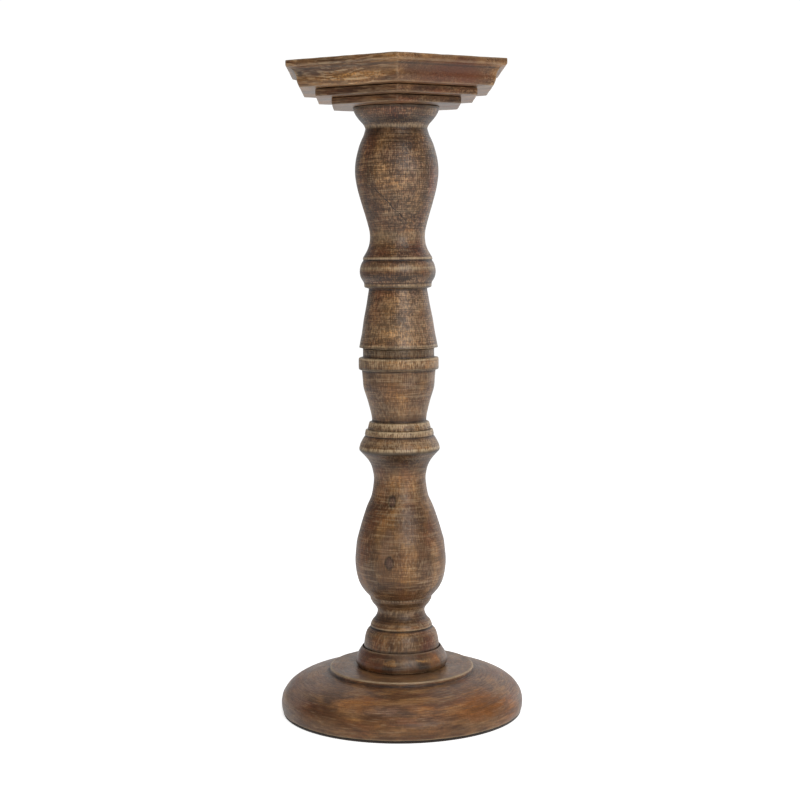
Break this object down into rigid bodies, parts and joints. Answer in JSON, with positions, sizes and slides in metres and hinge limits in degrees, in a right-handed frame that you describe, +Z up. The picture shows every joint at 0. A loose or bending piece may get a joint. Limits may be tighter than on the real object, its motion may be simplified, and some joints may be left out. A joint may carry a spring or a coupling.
{
  "type": "wooden candlestick",
  "caption": "Turned wooden pillar candle stand with a domed round base, a baluster stem and a stepped hexagonal top plate.",
  "frame": {"origin": "middle of the felt pad's underside, where the stand rests on a table", "axes": "+Z up along the turned stem, a corner of the hexagonal top points to -Y"},
  "size_m": [0.1732, 0.1732, 0.457],
  "materials": {
    "stem_wood": "antique brown stain, hand rubbed, satin",
    "board_wood": "antique brown stain, hand rubbed, satin",
    "dowel_wood": "plain, unstained",
    "felt": "pressed felt",
    "steel": "zinc plated"
  },
  "bodies": {
    "root": {"felt_pad": "felt", "base_disc": "board_wood", "base_washer": "steel", "base_screw": "steel", "foot_ring": "stem_wood", "lower_spindle": "stem_wood", "spindle_dowel": "dowel_wood", "upper_spindle": "stem_wood", "hex_plate_lower": "board_wood", "hex_plate_middle": "board_wood", "hex_top_plate": "board_wood", "top_screw": "steel", "top_pin_left": "dowel_wood", "top_pin_right": "dowel_wood"}
  },
  "joints": []
}
